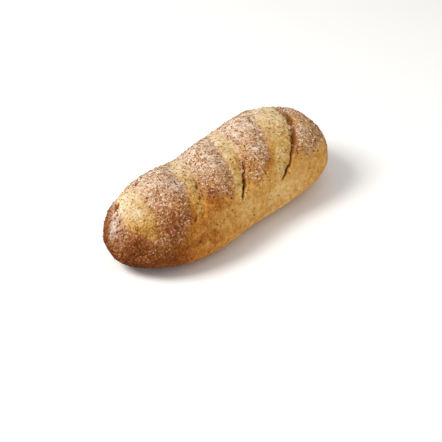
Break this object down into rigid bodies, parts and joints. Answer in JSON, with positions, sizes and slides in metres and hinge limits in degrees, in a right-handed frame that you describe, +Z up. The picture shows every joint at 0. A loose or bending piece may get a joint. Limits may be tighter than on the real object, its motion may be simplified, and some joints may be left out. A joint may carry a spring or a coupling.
{
  "type": "whole wheat loaf",
  "caption": "Whole wheat bloomer loaf with diagonal slashes across the top and a dusting of coarse bran, baked free-standing on a flat base.",
  "frame": {"origin": "middle of the loaf's bounding box, at the table it stands on", "axes": "+X along the loaf towards its taller, blunter end, +Y across it to the back, +Z up"},
  "size_m": [0.28, 0.122, 0.0797],
  "materials": {
    "crust": "matte"
  },
  "bodies": {
    "root": {"loaf": "crust"}
  },
  "joints": []
}
